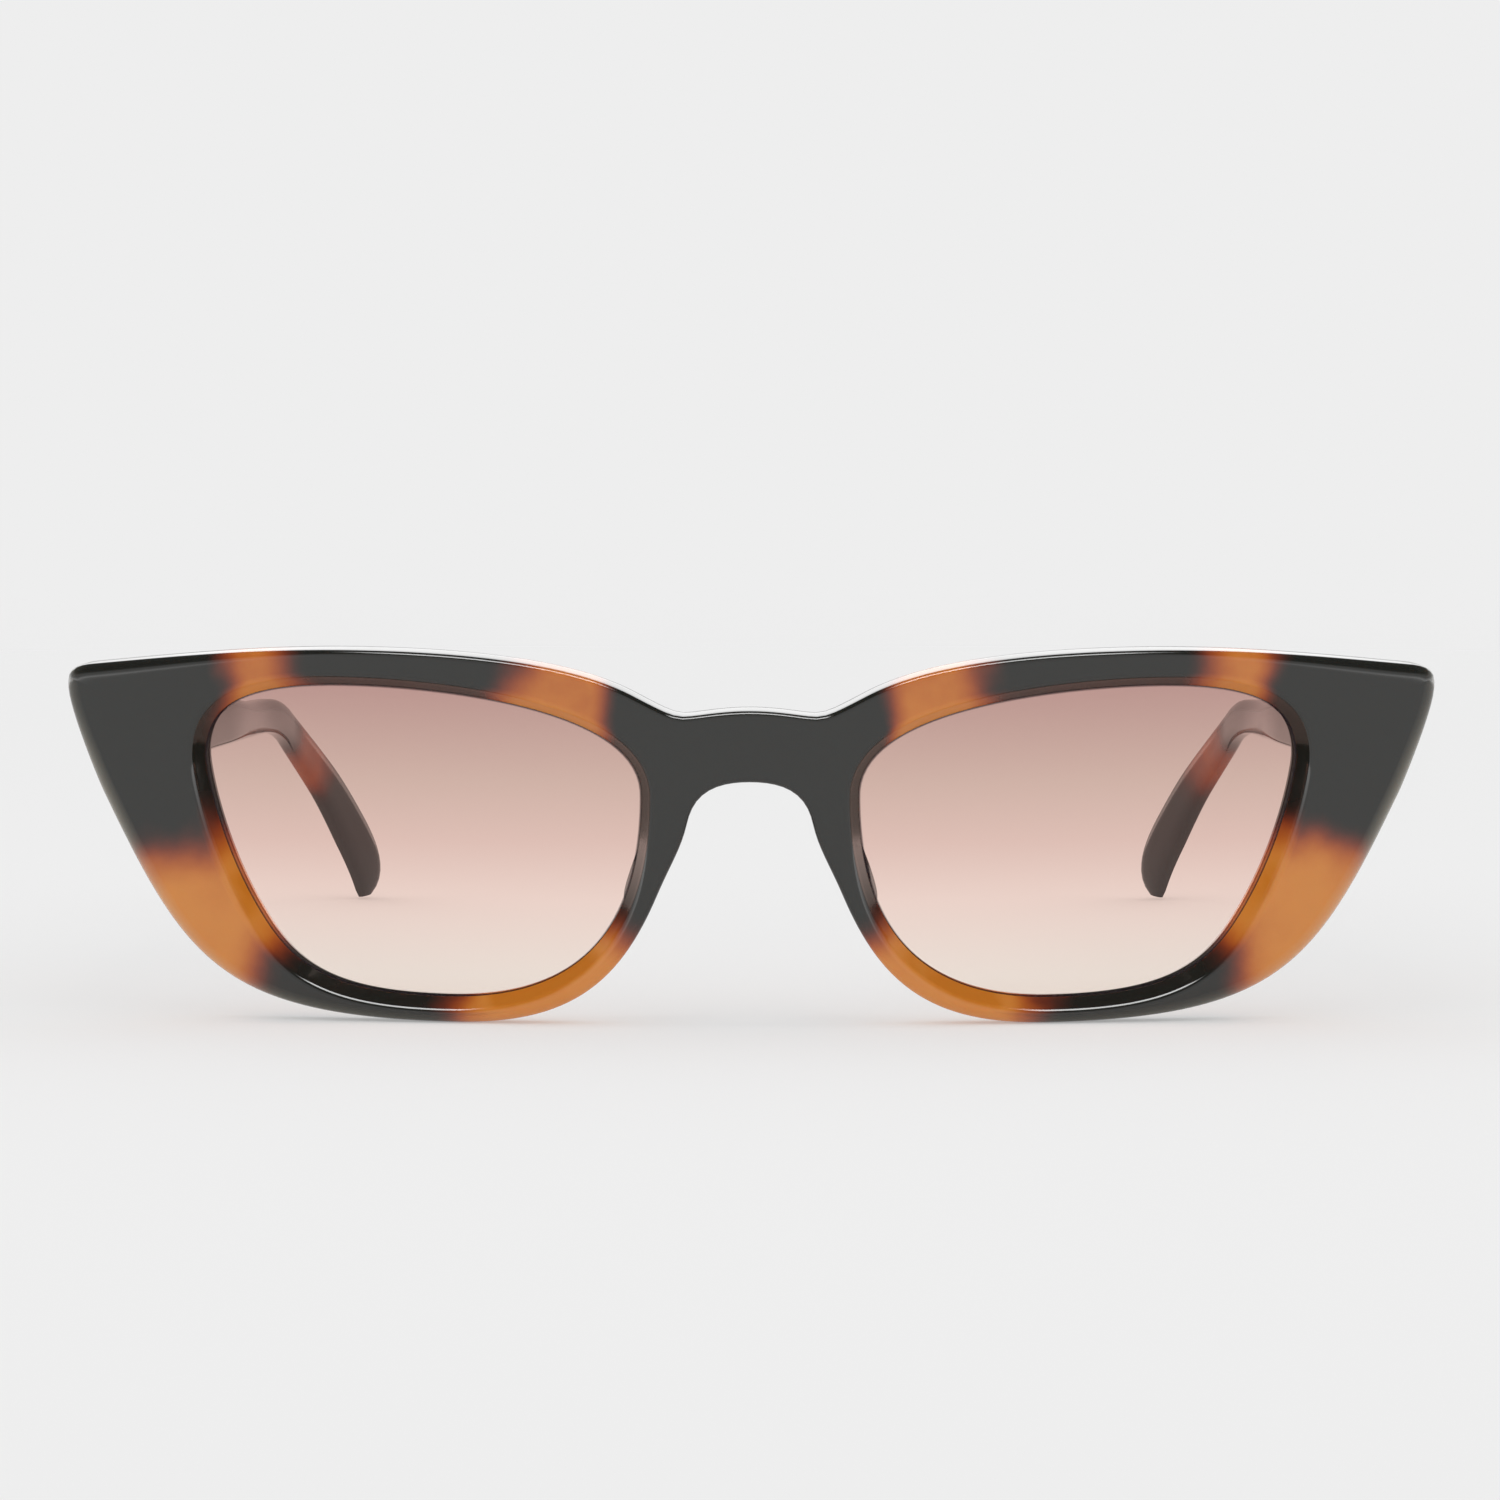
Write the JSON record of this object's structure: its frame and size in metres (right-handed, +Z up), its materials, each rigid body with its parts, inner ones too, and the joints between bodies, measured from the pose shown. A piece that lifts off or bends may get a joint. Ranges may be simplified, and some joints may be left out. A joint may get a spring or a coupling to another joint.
{
  "type": "sunglasses",
  "caption": "Cat eye sunglasses: bent tortoise front with upswept tips, gradient tinted lenses in grooved rims, glued nose pads and folding temples on barrel hinges.",
  "frame": {"origin": "bottom centre of the bounding box, on the surface that the open sunglasses stand on", "axes": "+Z up, the front faces -Y, +Y runs back along the temples, +X is the wearer's left"},
  "size_m": [0.1432, 0.1509, 0.0391],
  "materials": {
    "tortoise": "polished tortoise pattern, charcoal brown patches over amber",
    "tinted_lens": "clear gradient tint, rose brown at the top fading to pale rose",
    "hinge_metal": "satin nickel silver"
  },
  "bodies": {
    "front": {"frame_front": "tortoise", "lens_left": "tinted_lens", "lens_right": "tinted_lens", "nose_pad_left": "tortoise", "nose_pad_right": "tortoise", "front_hinge_left": "hinge_metal", "front_hinge_right": "hinge_metal", "hinge_screw_left": "hinge_metal", "hinge_screw_right": "hinge_metal"},
    "temple_left": {"temple_left": "tortoise", "temple_hinge_left": "hinge_metal", "core_wire_left": "hinge_metal"},
    "temple_right": {"temple_right": "tortoise", "temple_hinge_right": "hinge_metal", "core_wire_right": "hinge_metal"}
  },
  "joints": [
    {"name": "temple_left_fold", "type": "hinge", "parent": "front", "child": "temple_left", "pos_m": [0.0611, -0.05836, 0.02935], "axis": [0, -0.0872, 0.9962], "range_deg": [0, 87]},
    {"name": "temple_right_fold", "type": "hinge", "parent": "front", "child": "temple_right", "pos_m": [-0.0611, -0.05836, 0.02935], "axis": [0, 0.0872, -0.9962], "range_deg": [0, 80]}
  ]
}
